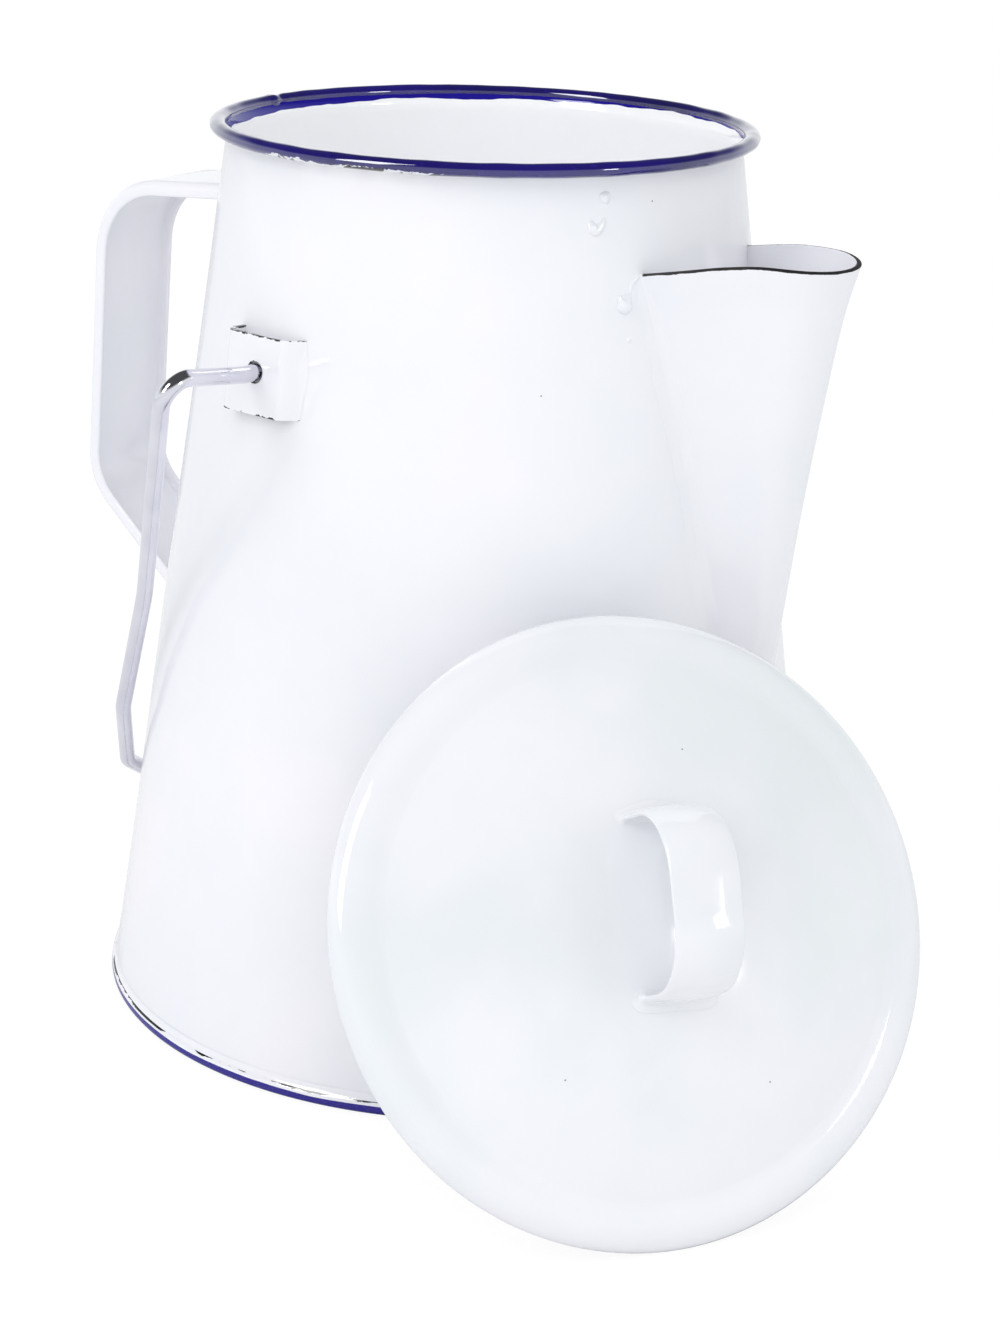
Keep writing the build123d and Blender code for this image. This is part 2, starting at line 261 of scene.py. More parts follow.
# Strainer: five-millimetre punch holes in staggered rows through the wall, out of sight behind the spout.
punch = bpy.data.node_groups.new("strainer_punch", "GeometryNodeTree")
punch.interface.new_socket("Wall", in_out="INPUT", socket_type="NodeSocketGeometry")
for label, value in (("Hole", 0.005), ("Pitch", 0.011), ("Lowest Row", 0.104), ("Row Step", 0.00953)):
    socket = punch.interface.new_socket(label, in_out="INPUT", socket_type="NodeSocketFloat")
    socket.default_value = value
punch.interface.new_socket("Rows", in_out="INPUT", socket_type="NodeSocketInt").default_value = 7
punch.interface.new_socket("Wall", in_out="OUTPUT", socket_type="NodeSocketGeometry")
given = add(punch, "NodeGroupInput", {})
rows = add(punch, "GeometryNodeMeshLine", {"Count": given.outputs["Rows"]})
index = add(punch, "GeometryNodeInputIndex", {})
odd = add(punch, "ShaderNodeMath", {0: index.outputs[0], 1: 2.0}, operation="MODULO")
climb = add(punch, "ShaderNodeMath", {0: index.outputs[0], 1: given.outputs["Row Step"],
                                      2: given.outputs["Lowest Row"]}, operation="MULTIPLY_ADD")
spot = add(punch, "ShaderNodeCombineXYZ", {"X": 0.075, "Z": climb.outputs[0]})
stack = add(punch, "GeometryNodeSetPosition", {"Geometry": rows.outputs["Mesh"], "Position": spot.outputs[0]})
half = add(punch, "ShaderNodeMath", {0: given.outputs["Pitch"], 1: 0.5}, operation="MULTIPLY")
aside = add(punch, "ShaderNodeCombineXYZ", {"Y": half.outputs[0]})
stray = add(punch, "ShaderNodeCombineXYZ", {"Y": given.outputs["Pitch"]})
wide = add(punch, "FunctionNodeCompare", {"A": odd.outputs[0], "B": 0.5}, operation="GREATER_THAN")
shift = add(punch, "GeometryNodeSwitch", {"Switch": wide.outputs[0], "False": aside.outputs[0],
                                          "True": stray.outputs[0]}, input_type="VECTOR")
right = add(punch, "GeometryNodeSetPosition", {"Geometry": stack.outputs[0], "Offset": shift.outputs[0]})
back = add(punch, "ShaderNodeVectorMath", {0: shift.outputs[0], "Scale": -1.0}, operation="SCALE")
left = add(punch, "GeometryNodeSetPosition", {"Geometry": stack.outputs[0], "Offset": back.outputs[0]})
centre = add(punch, "GeometryNodeDeleteGeometry", {"Geometry": stack.outputs[0]}, domain="POINT")
narrow = add(punch, "FunctionNodeBooleanMath", {0: wide.outputs[0]}, operation="NOT")
punch.links.new(narrow.outputs[0], centre.inputs["Selection"])
spots = add(punch, "GeometryNodeJoinGeometry", {})
for source in (right, left, centre):
    punch.links.new(source.outputs[0], spots.inputs[0])
radius = add(punch, "ShaderNodeMath", {0: given.outputs["Hole"], 1: 0.5}, operation="MULTIPLY")
pin = add(punch, "GeometryNodeMeshCylinder", {"Vertices": 20, "Radius": radius.outputs[0], "Depth": 0.03})
pins = add(punch, "GeometryNodeInstanceOnPoints",
           {"Points": spots.outputs[0], "Instance": pin.outputs["Mesh"], "Rotation": (0, pi / 2, 0)})
solid = add(punch, "GeometryNodeRealizeInstances", {"Geometry": pins.outputs[0]})
cut = add(punch, "GeometryNodeMeshBoolean", {"Mesh 1": given.outputs["Wall"]}, operation="DIFFERENCE",
          solver="EXACT")
punch.links.new(solid.outputs[0], cut.inputs["Mesh 2"])
coated = add(punch, "GeometryNodeSetMaterial", {"Geometry": cut.outputs["Mesh"], "Material": wall_enamel})
add(punch, "NodeGroupOutput", {"Wall": coated.outputs[0]})
pierced = pot_wall.modifiers.new("strainer", "NODES")
pierced.node_group = punch
settled(pot_wall)
pot_wall.data.shade_smooth()
pot_wall.data.set_sharp_from_angle(angle=radians(35))
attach(pot_wall, "pot")

# Rim bead: the edge of the wall rolled outward round itself and dipped in navy enamel. The sheet's own
# weld makes a ridge across it at the back left, and under the front the navy has flaked to white and black.
navy_enamel, tree, shader, coat, place = vitreous_enamel("navy_cobalt_enamel", "#100852", "#1A0D72")
shader.inputs["Coat Weight"].default_value = 1.0
shader.inputs["Coat Roughness"].default_value = 0.03
grit = add(tree, "ShaderNodeTexNoise", {"Vector": place, "Scale": 700.0, "Detail": 2.0})
fleck = add(tree, "ShaderNodeMapRange",
            {"Value": grit.outputs["Fac"], "From Min": 0.60, "From Max": 0.72, "To Min": 0.0, "To Max": 0.25})
milky = add(tree, "ShaderNodeMix", {"Factor": fleck.outputs["Result"], "A": coat.outputs["Result"],
                                    "B": linear("#3428A8")}, data_type="RGBA")
chips = add(tree, "ShaderNodeTexNoise", {"Vector": place, "Scale": 230.0, "Detail": 5.0, "Roughness": 0.7})
broken = add(tree, "ShaderNodeMapRange",
             {"Value": chips.outputs["Fac"], "From Min": 0.38, "From Max": 0.62, "To Min": 0.2188,
              "To Max": 0.2197})
axes = add(tree, "ShaderNodeSeparateXYZ", {"Vector": place})
under = add(tree, "ShaderNodeMath", {0: axes.outputs["Z"], 1: broken.outputs["Result"]},
            operation="LESS_THAN")
to_front = add(tree, "ShaderNodeVectorMath", {0: place, 1: (0.113, -0.994, 0.0)}, operation="DOT_PRODUCT")
front = add(tree, "ShaderNodeMath", {0: to_front.outputs["Value"], 1: 0.0618}, operation="GREATER_THAN")
flaked = add(tree, "ShaderNodeMath", {0: under.outputs[0], 1: front.outputs[0]}, operation="MULTIPLY")
patch = add(tree, "ShaderNodeTexNoise", {"Vector": place, "Scale": 260.0, "Detail": 2.0})
bare = add(tree, "ShaderNodeMapRange", {"Value": patch.outputs["Fac"], "From Min": 0.43, "From Max": 0.46})
ground = add(tree, "ShaderNodeMix", {"Factor": bare.outputs["Result"], "A": linear("#0B0A12"),
                                     "B": linear("#E8E8F0")}, data_type="RGBA")
worn = add(tree, "ShaderNodeMix", {"Factor": flaked.outputs[0], "A": milky.outputs["Result"],
                                   "B": ground.outputs["Result"]}, data_type="RGBA")
tree.links.new(worn.outputs["Result"], shader.inputs["Base Color"])

weld_at = radians(182.8)
points, faces, count, sides = [], [], 320, 28
for i in range(count):
    turn = 2 * pi * i / count
    off = (turn - weld_at + pi) % (2 * pi) - pi
    ridge = 0.35 * 2.718 ** -((off / 0.018) ** 2) - 0.3 * 2.718 ** -(((off + 0.04) / 0.022) ** 2)
    for k in range(sides):
        across = 2 * pi * k / sides
        swell = noise.noise(Vector((cos(turn) * 9, sin(turn) * 9, 0.4 * cos(across)))) * 0.12
        r = 1.65 + swell + ridge
        ring = bead_middle - 0.1 + r * 1.22 * cos(across)
        points.append((ring * cos(turn), ring * sin(turn), min(bead_height + r * sin(across), 221.7)))
for i in range(count):
    for k in range(sides):
        a, b = i * sides, (i + 1) % count * sides
        m = (k + 1) % sides
        faces.append((a + k, b + k, b + m, a + m))
rim_bead = pressed("rim_bead", points, faces, navy_enamel)
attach(rim_bead, "pot")
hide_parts("body_wall")
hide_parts("body_wall")

# Base pan: a pressed steel disc with a short flange folded up round the foot of the wall, dipped navy at
# the bottom. The raw top edge of the flange has lost its enamel here and there.
pan_enamel, tree, shader, coat, place = vitreous_enamel("white_vitreous_enamel_pan", "#F7F5FA", "#F1F2F7")
axes = add(tree, "ShaderNodeSeparateXYZ", {"Vector": place})
run = add(tree, "ShaderNodeTexNoise", {"Vector": place, "Scale": 34.0, "Detail": 3.0})
line = add(tree, "ShaderNodeMapRange",
           {"Value": run.outputs["Fac"], "From Min": 0.3, "From Max": 0.7, "To Min": 0.0022,
            "To Max": 0.0026})
low = add(tree, "ShaderNodeMath", {0: axes.outputs["Z"], 1: line.outputs["Result"]}, operation="LESS_THAN")
across = add(tree, "ShaderNodeVectorMath", {0: place, 1: (1, 1, 0)}, operation="MULTIPLY")
reach = add(tree, "ShaderNodeVectorMath", {0: across.outputs[0]}, operation="LENGTH")
floor_of_pot = add(tree, "ShaderNodeMath", {0: reach.outputs["Value"], 1: 0.0916}, operation="LESS_THAN")
upper = add(tree, "ShaderNodeMath", {0: axes.outputs["Z"], 1: 0.0006}, operation="GREATER_THAN")
within = add(tree, "ShaderNodeMath", {0: floor_of_pot.outputs[0], 1: upper.outputs[0]}, operation="MULTIPLY")
dipped = add(tree, "ShaderNodeMath", {0: low.outputs[0], 1: within.outputs[0]}, operation="SUBTRACT",
             use_clamp=True)
banded = add(tree, "ShaderNodeMix", {"Factor": dipped.outputs[0], "A": coat.outputs["Result"],
                                     "B": linear("#1E0F88")}, data_type="RGBA")
bite = add(tree, "ShaderNodeTexNoise", {"Vector": place, "Scale": 95.0, "Detail": 4.0, "Roughness": 0.6})
to_handle = add(tree, "ShaderNodeVectorMath", {0: place, 1: (-0.825, -0.565, 0.0)}, operation="DOT_PRODUCT")
knocked = add(tree, "ShaderNodeMapRange",
              {"Value": to_handle.outputs["Value"], "From Min": 0.070, "From Max": 0.078, "To Max": 0.08})
eroded = add(tree, "ShaderNodeMath", {0: bite.outputs["Fac"], 1: knocked.outputs["Result"]}, operation="ADD")
crest = add(tree, "ShaderNodeMapRange",
            {"Value": eroded.outputs[0], "From Min": 0.46, "From Max": 0.60, "To Min": 0.00345,
             "To Max": 0.00295})
bare = add(tree, "ShaderNodeMath", {0: axes.outputs["Z"], 1: crest.outputs["Result"]},
           operation="GREATER_THAN")
below = add(tree, "ShaderNodeMath", {0: axes.outputs["Z"], 1: 0.0034}, operation="LESS_THAN")
chipped = add(tree, "ShaderNodeMath", {0: bare.outputs[0], 1: below.outputs[0]}, operation="MULTIPLY")
raw = add(tree, "ShaderNodeMix", {"Factor": chipped.outputs[0], "A": banded.outputs["Result"],
                                  "B": linear("#0C0A0E")}, data_type="RGBA")
tree.links.new(raw.outputs["Result"], shader.inputs["Base Color"])
outline = [(0, 0), *[(r, 0) for r in (20, 45, 70, 85)], *arc(91.79, 1.5, 1.5, -90, 0, 6)]
outline += [(93.2, 2.2), (93.12, 2.8), (92.92, 3.15), (92.6, 3.42), (92.3, 3.75), (92.08, 4.3), (91.9, 5.1)]
outline += [(91.5, 4.6), (91.4, 1.25), *[(r, 1.2) for r in (90.5, 85, 70, 45, 20)], (0, 1.2)]
points, faces = turned(outline, 256)
base_pan = pressed("pan_of_base", points, faces, pan_enamel)
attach(base_pan, "pot")
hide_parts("base_pan")

# Spout: a blank of the same sheet folded to a gutter and welded up the front of the wall. Its wings open
# in an S to the pouring lip, whose cut edge stays dark where the glass won't hold.
spout_levels = [(62, -1.9, 18.0, 24.0, 0.0), (90, 5.6, 12.0, 23.0, 0.0), (116, 12.6, 8.0, 22.6, 0.0),
                (142, 19.3, 9.0, 20.2, 0.0), (166, 26.0, 11.0, 21.8, 0.6), (187, 32.3, 13.4, 23.4, 2.0),
                (199, 37.0, 16.5, 24.8, 3.8), (208, 41.2, 18.5, 25.6, 4.4)]
lip_line = [(-13, 194.4), (-5, 195.6), (5, 197.3), (15, 199.0), (25, 199.7), (39, 198.6)]
spout_height = 199
columns = 56


def gutter(z, count=columns):
    """The level outline of the spout outside the wall, evenly spaced from the near seam to the far one."""
    stand, nose, half, wing = through(spout_levels, z)
    middle = wall_radius(z) + stand - nose
    inner = wall_radius(spout_height) - 7
    turn = atan2(half, inner - middle) - acos(nose / hypot(middle - inner, half))
    root, touch = Vector((inner, half)), Vector((middle + nose * cos(turn), nose * sin(turn)))
    first = root + (touch - root) / 3 + Vector((wing, wing))
    second = root + (touch - root) * 2 / 3 - Vector((0, wing / 5))
    side = []
    for i in range(61):
        t = i / 60
        side.append(root * (1 - t) ** 3 + first * 3 * t * (1 - t) ** 2 + second * 3 * t * t * (1 - t)
                    + touch * t ** 3)
    side += [Vector((middle + nose * cos(turn * (1 - i / 30)), nose * sin(turn * (1 - i / 30))))
             for i in range(1, 31)]
    skin = wall_radius(z) - sheet / 2
    first_out = next((i for i, p in enumerate(side) if p.length > skin), len(side) - 1)
    if first_out:
        a, b = side[first_out - 1], side[first_out]
        share = (skin - a.length) / max(b.length - a.length, 1e-9)
        side = [a.lerp(b, min(max(share, 0), 1))] + side[first_out:]
    line = [Vector((p.x, -p.y)) for p in side] + [p for p in reversed(side[:-1])]
    run = [0.0]
    for a, b in zip(line, line[1:]):
        run.append(run[-1] + (b - a).length)
    out, j = [], 0
    for i in range(count + 1):
        want = run[-1] * i / count
        while j < len(line) - 2 and run[j + 1] < want:
            j += 1
        out.append(line[j].lerp(line[j + 1], (want - run[j]) / max(run[j + 1] - run[j], 1e-9)))
    return out


foot_of_spout, plain_rows = 67.8, 44
tops = []
for j in range(columns + 1):
    z = 198.0
    for step in range(8):
        z = through(lip_line, gutter(z)[j].x - wall_radius(spout_height))[0]
    tops.append(z)
shares = [i / plain_rows for i in range(plain_rows)]
points, gaps, faces = [], [], []
below = [1.6, 0.9, 0.4, 0.0]
levels = len(shares) + len(below)
for n in range(levels):
    for j in range(columns + 1):
        top = tops[j]
        full = top - 2.4 - foot_of_spout
        z = foot_of_spout + full * shares[n] ** 0.9 if n < len(shares) else top - below[n - len(shares)]
        p = gutter(z)[j]
        points.append(Vector((p.x, p.y, z)))
        gaps.append(top - z)
for n in range(levels - 1):
    for j in range(columns):
        a = n * (columns + 1) + j
        faces.append((a, a + 1, a + columns + 2, a + columns + 1))

# Raw edge of cut sheet: black scale and rust brown that eats a little way into the white.
chipped_enamel, tree, shader, coat, place = vitreous_enamel("white_enamel_chipped_edge", "#F7F5FA", "#F1F2F7")
gap = add(tree, "ShaderNodeAttribute", {}, attribute_name="edge_gap")
gnaw = add(tree, "ShaderNodeTexNoise", {"Vector": place, "Scale": 420.0, "Detail": 3.0, "Roughness": 0.6})
axes = add(tree, "ShaderNodeSeparateXYZ", {"Vector": place})
deep = add(tree, "ShaderNodeMapRange",
           {"Value": axes.outputs["Y"], "From Min": -0.013, "From Max": 0.003, "To Min": 0.34,
            "To Max": 0.12})
shallow = add(tree, "ShaderNodeMath", {0: deep.outputs["Result"], 1: 0.55}, operation="MULTIPLY")
bite = add(tree, "ShaderNodeMapRange",
           {"Value": gnaw.outputs["Fac"], "From Min": 0.38, "From Max": 0.62, "To Min": shallow.outputs[0],
            "To Max": deep.outputs["Result"]})
near_edge = add(tree, "ShaderNodeMath", {0: gap.outputs["Fac"], 1: bite.outputs["Result"]},
                operation="LESS_THAN")
facing = add(tree, "ShaderNodeSeparateXYZ",
             {"Vector": add(tree, "ShaderNodeNewGeometry", {}).outputs["Normal"]})
aside = add(tree, "ShaderNodeMath", {0: facing.outputs["Z"], 1: 0.999}, operation="LESS_THAN")
eaten = add(tree, "ShaderNodeMath", {0: near_edge.outputs[0], 1: aside.outputs[0]}, operation="MULTIPLY")
rust = add(tree, "ShaderNodeTexNoise", {"Vector": place, "Scale": 140.0, "Detail": 3.0})
scale = add(tree, "ShaderNodeMapRange", {"Value": rust.outputs["Fac"], "From Min": 0.56, "From Max": 0.76})
iron = add(tree, "ShaderNodeMix", {"Factor": scale.outputs["Result"], "A": linear("#0D0B0C"),
                                   "B": linear("#3A2C28")}, data_type="RGBA")
edge = add(tree, "ShaderNodeMix", {"Factor": eaten.outputs[0], "A": coat.outputs["Result"],
                                   "B": iron.outputs["Result"]}, data_type="RGBA")
tree.links.new(edge.outputs["Result"], shader.inputs["Base Color"])
dull = add(tree, "ShaderNodeMapRange", {"Value": eaten.outputs[0], "To Min": 0.09, "To Max": 0.6})
tree.links.new(dull.outputs["Result"], shader.inputs["Roughness"])

spout = pressed("pouring_spout", points, faces, chipped_enamel, gaps=gaps)


def walled(piece, thickness, bevel=0.0003):
    """The open skin given its sheet thickness inward, with its cut edges eased."""
    thick = piece.modifiers.new("thickness", "SOLIDIFY")
    thick.thickness, thick.offset, thick.use_even_offset = thickness, -1, True
    eased = piece.modifiers.new("eased", "BEVEL")
    eased.width, eased.segments, eased.limit_method, eased.angle_limit = bevel, 3, "ANGLE", radians(50)
    settled(piece)
    piece.data.shade_smooth()
    piece.data.set_sharp_from_angle(angle=radians(38))
    return piece


def outward(piece, inside):
    """Turn an open skin so that its faces look away from a point inside it, in metres."""
    face = max(piece.data.polygons, key=lambda f: f.area)
    if (face.center - Vector(inside)).dot(face.normal) < 0:
        piece.data.flip_normals()


def leaving(line, z):
    """Where a level line leaves the wall: the corner, the way back along the wall, the way along the line."""
    i = next(i for i, p in enumerate(line) if hypot(p[0], p[1]) > wall_radius(z))
    a, b = Vector(line[i - 1][:2]), Vector(line[i][:2])
    corner = a.lerp(b, (wall_radius(z) - a.length) / (b.length - a.length))
    along = (Vector(line[min(i + 1, len(line) - 1)][:2]) - corner).normalized()
    aside = Vector((-corner.y, corner.x)).normalized()
    if aside.dot(along) > 0:
        aside.negate()
    return Vector((*corner, z)), Vector((*aside, 0)), Vector((*along, 0))


def pooled(name, seam, body, node, leg=1.3, closed=False, coat=white_enamel):
    """Enamel that pooled in the corner of a welded seam: a strip with a hollow face, wider here and there."""
    frames = []
    for i, (corner, aside, along) in enumerate(seam):
        end = 1.0 if closed else min(1.0, 0.25 + min(i, len(seam) - 1 - i) * 0.25)
        reach = leg * end * (1 + 0.45 * noise.noise(corner / 7.0))
        frames.append((corner, aside * reach, along * reach))
    section = [(-0.2, -0.2), (0.5, -0.22), (1.0, -0.05), (0.62, 0.1), (0.34, 0.2), (0.2, 0.34), (0.1, 0.62),
               (-0.05, 1.0), (-0.22, 0.5)]
    points, faces = swept(frames, section, closed)
    strip = pressed(name, points, faces, coat, sharp=75)
    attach(strip, body)
    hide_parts(node)


outward(spout, (0.03, 0, 0.15))
walled(spout, 0.0012)
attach(spout, "pot")
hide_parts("spout")
foot_of_seam = next(z for z in range(66, 90) if gutter(z)[28].x > wall_radius(z) + 0.1)
for side, name in ((1, "spout_seam_near"), (-1, "spout_seam_far")):
    seam = [leaving([(p.x, side * p.y) for p in gutter(z)], z) for z in range(foot_of_seam, 197, 2)]
    pooled(name, seam, "pot", "spout", leg=3.0)

# Runs of enamel: glass that dripped from the spout's upper corner and set as low lumps on the near side of
# the wall. Each is a chain of stations: azimuth in degrees, height and half width in millimetres.
glaze_runs = [
    [(-20.9, 196.2, 0.35), (-22.4, 195.4, 0.6), (-23.8, 193.9, 0.42), (-24.4, 192.0, 0.4),
     (-25.2, 190.6, 1.5), (-25.8, 189.7, 2.4), (-26.7, 189.2, 2.0), (-27.5, 189.0, 0.6)],
    [(-28.6, 214.6, 0.6), (-29.3, 213.8, 1.3), (-29.9, 213.1, 1.4), (-30.5, 212.5, 0.5)],
    [(-29.8, 209.1, 0.4), (-30.2, 207.9, 0.8), (-30.9, 206.8, 1.0), (-31.8, 206.2, 1.2), (-32.6, 207.3, 1.2),
     (-32.9, 208.7, 0.5)],
    [(-24.7, 182.2, 0.3), (-24.9, 181.6, 0.6), (-25.2, 181.0, 0.3)],
]
for number, stations in enumerate(glaze_runs):
    rows = [(float(i), *station) for i, station in enumerate(stations)]
    steps = [i / 5 for i in range(5 * (len(rows) - 1) + 1)]
    spots = []
    for at in steps:
        turn, z, wide = through(rows, at)
        t = radians(turn)
        spots.append((Vector((wall_radius(z) * cos(t), wall_radius(z) * sin(t), z)), t, max(wide, 0.1)))
    frames = []
    for i, (p, t, wide) in enumerate(spots):
        out = Vector((cos(t), sin(t), wall_taper)).normalized()
        way = (spots[min(i + 1, len(spots) - 1)][0] - spots[max(i - 1, 0)][0]).normalized()
        tip = sqrt(1 - (2 * i / (len(spots) - 1) - 1) ** 6 * 0.97)
        frames.append((p, way.cross(out).normalized() * wide * tip, out * wide * tip * 0.6))
    section = [(cos(2 * pi * k / 20), sin(2 * pi * k / 20)) for k in range(20)]
    points, faces = swept(frames, section)
    run_of_glass = pressed(f"enamel_run_{number}", points, faces, white_enamel, sharp=75)
    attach(run_of_glass, "pot")
    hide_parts("body_wall")

# Handle: a strap with both long edges turned in toward the hand, bent twice and welded on at its ends.
handle_corners = [(0, 199.8), (49.7, 195.9), (43.9, 112.8), (0, 78.4)]
handle_bends = [22, 18]
strap_width, strap_lip, strap_edge = 27.3, 4.0, 2.0


def bent(corners, bends, step=2.0):
    """Points and directions along straight runs joined by round bends, in whatever plane the corners lie."""
    out, start = [], Vector(corners[0])
    for i, radius in enumerate(bends):
        corner = Vector(corners[i + 1])
        into = (corner - Vector(corners[i])).normalized()
        away = (Vector(corners[i + 2]) - corner).normalized()
        turn = into.angle(away)
        cut = radius * tan(turn / 2)
        enter, leave = corner - into * cut, corner + away * cut
        runs = max(1, int((enter - start).length / step))
        out += [(start.lerp(enter, n / runs), into) for n in range(runs)]
        square = (away - into * into.dot(away)).normalized()
        middle = enter + square * radius
        steps = max(3, int(turn / radians(6)))
        for n in range(steps):
            t = turn * n / steps
            out.append((middle - square * radius * cos(t) + into * radius * sin(t),
                        into * cos(t) + square * sin(t)))
        start = leave
    end = Vector(corners[-1])
    away = (end - start).normalized()
    runs = max(1, int((end - start).length / step))
    out += [(start.lerp(end, n / runs), away) for n in range(runs + 1)]
    return out


def strap_section(width, lip, edge, thickness):
    """A C of sheet: across the strap and toward the hand, round at both rolled corners and at the lips."""
    half, inner = width / 2, edge - thickness
    skin = arc(-half + edge, edge, edge, 180, 270, 6) + arc(half - edge, edge, edge, -90, 0, 6)
    lip_a = arc(half - thickness / 2, lip - thickness / 2, thickness / 2, 0, 180, 5)
    inside = arc(half - edge, edge, inner, 0, -90, 5) + arc(-half + edge, edge, inner, 270, 180, 5)
    lip_b = arc(-half + thickness / 2, lip - thickness / 2, thickness / 2, 0, 180, 5)
    return skin + lip_a + inside + lip_b


def ringed(first, way, along, landed, probe):
    """The seam round one end of a strap: where each point lands, the way aside and the way along."""
    seam = []
    for k in range(ring):
        chord = points[first + (k + 1) % ring] - points[first + (k - 1) % ring]
        seam.append((landed(points[first + k]), chord.cross(way).normalized(), along))
    middle = sum((corner for corner, _, _ in seam), Vector()) / ring
    if (seam[probe][0] - middle).dot(seam[probe][1]) < 0:
        seam = [(corner, -aside, along) for corner, aside, along in seam]
    return seam


flat = [(-wall_radius(z) - stand, z) for stand, z in handle_corners]
path = bent([(x, 0, z) for x, z in flat], handle_bends)
section = strap_section(strap_width, strap_lip, strap_edge, sheet)
frames = [(p, Vector((0, 1, 0)), d.cross(Vector((0, 1, 0)))) for p, d in path]
points, faces = swept(frames, section)
ring = len(section)


def carried(p, way, sunk):
    """A point slid along the strap until it lies a given depth under the wall's outer face."""
    for step in range(12):
        p = p + way * (hypot(p.x, p.y) - wall_radius(p.z) + sunk) * 0.8
    return p


ends = ((0, -path[0][1], "handle_weld_top"), (len(points) - ring, path[-1][1], "handle_weld_foot"))
for first, way, name in ends:
    seam = ringed(first, way, -way, lambda p: carried(p, way, 0.0), 3)
    pooled(name, seam, "pot", "handle_strap", leg=1.2, closed=True)
    for k in range(first, first + ring):
        points[k] = carried(points[k], way, 0.5)
handle = pressed("carrying_handle", [hammered(p, 0.15) for p in points], faces, white_enamel)
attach(handle, "pot")
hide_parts("handle_strap")

# Ears: short straps of sheet bent to stand off the wall and welded at both feet, each pierced for the
# bail. Their cut top and bottom edges and the rims of the holes are bare of enamel in places.
ear_bottom, ear_height = 160.3, 18.2
ear_plan = [(1.0, -1.55), (-4.7, 3.4), (-23.9, 1.5), (-22.25, -6.2)]
pivot = Vector((-13, 0, 170))
ear_out, hole_radius, drill_reach = 71, 2.6, 4
ear_enamel, tree, shader, coat, place = vitreous_enamel("white_enamel_chipped_ear", "#F7F5FA", "#F1F2F7")
gap = add(tree, "ShaderNodeAttribute", {}, attribute_name="edge_gap")
gnaw = add(tree, "ShaderNodeTexNoise", {"Vector": place, "Scale": 260.0, "Detail": 3.0, "Roughness": 0.6})
bite = add(tree, "ShaderNodeMapRange",
           {"Value": gnaw.outputs["Fac"], "From Min": 0.42, "From Max": 0.58, "To Min": -0.2, "To Max": 0.42})
eaten = add(tree, "ShaderNodeMath", {0: gap.outputs["Fac"], 1: bite.outputs["Result"]}, operation="LESS_THAN")
edge = add(tree, "ShaderNodeMix", {"Factor": eaten.outputs[0], "A": coat.outputs["Result"],
                                   "B": linear("#100E12")}, data_type="RGBA")
from_pivot = add(tree, "ShaderNodeVectorMath", {0: place, 1: pivot / 1000}, operation="SUBTRACT")
flat_on = add(tree, "ShaderNodeVectorMath", {0: from_pivot.outputs[0], 1: (1, 0, 1)}, operation="MULTIPLY")
spread = add(tree, "ShaderNodeVectorMath", {0: flat_on.outputs[0]}, operation="LENGTH")
rim_of_hole = add(tree, "ShaderNodeMath", {0: spread.outputs["Value"], 1: 0.00255}, operation="LESS_THAN")
holed = add(tree, "ShaderNodeMix", {"Factor": rim_of_hole.outputs[0], "A": edge.outputs["Result"],
                                    "B": linear("#5C5E70")}, data_type="RGBA")
tree.links.new(holed.outputs["Result"], shader.inputs["Base Color"])
for side, name, node in ((-1, "near_ear", "ear_near"), (1, "far_ear", "ear_far")):
    plan = [(x, wall_radius(ear_bottom) + stand, 0) for x, stand in ear_plan]
    path = bent(plan, [3.0, 2.8], step=1.0)
    rises = [0, 0.3, 0.8, 1.6, 4, 7, 9.1, 11, 14, 16.6, 17.4, 17.9, ear_height]
    points, gaps, faces = [], [], []
    for up in rises:
        for p, d in path:
            points.append((p.x, side * (p.y - wall_taper * up), ear_bottom + up))
            gaps.append(min(up, ear_height - up))
    n = len(path)
    for i in range(len(rises) - 1):
        for k in range(n - 1):
            faces.append((i * n + k, i * n + k + 1, (i + 1) * n + k + 1, (i + 1) * n + k))
    for foot, line in (("front", path), ("back", path[::-1])):
        seam = []
        for up in (0.3, 2, 4, 6, 8, 10, 12, 14, 16, 17.9):
            level = [(p.x, side * (p.y - wall_taper * up)) for p, d in line]
            seam.append(leaving(level, ear_bottom + up))
        pooled(f"{name}_weld_{foot}", seam, "pot", node, leg=1.1)
    ear = pressed(name, points, faces, ear_enamel, gaps=gaps)
    outward(ear, (-0.013, side * 0.05, 0.17))
    drill_place = Matrix.Translation(pivot + Vector((0, side * ear_out, 0))) @ Matrix.Rotation(pi / 2, 4, "X")
    drill_points, drill_faces = turned([(0, -drill_reach), (hole_radius, -drill_reach),
                                        (hole_radius, drill_reach), (0, drill_reach)], 40, drill_place)
    drill = pressed("drill", drill_points, drill_faces, ear_enamel)
    thick = ear.modifiers.new("thickness", "SOLIDIFY")
    thick.thickness, thick.offset, thick.use_even_offset = sheet / 1000, -1, True
    hole = ear.modifiers.new("hole", "BOOLEAN")
    hole.object, hole.operation, hole.solver = drill, "DIFFERENCE", "EXACT"
    settled(ear)
    bpy.data.objects.remove(drill)
    ear.data.shade_smooth()
    ear.data.set_sharp_from_angle(angle=radians(30))
    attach(ear, "pot")
    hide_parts(node)

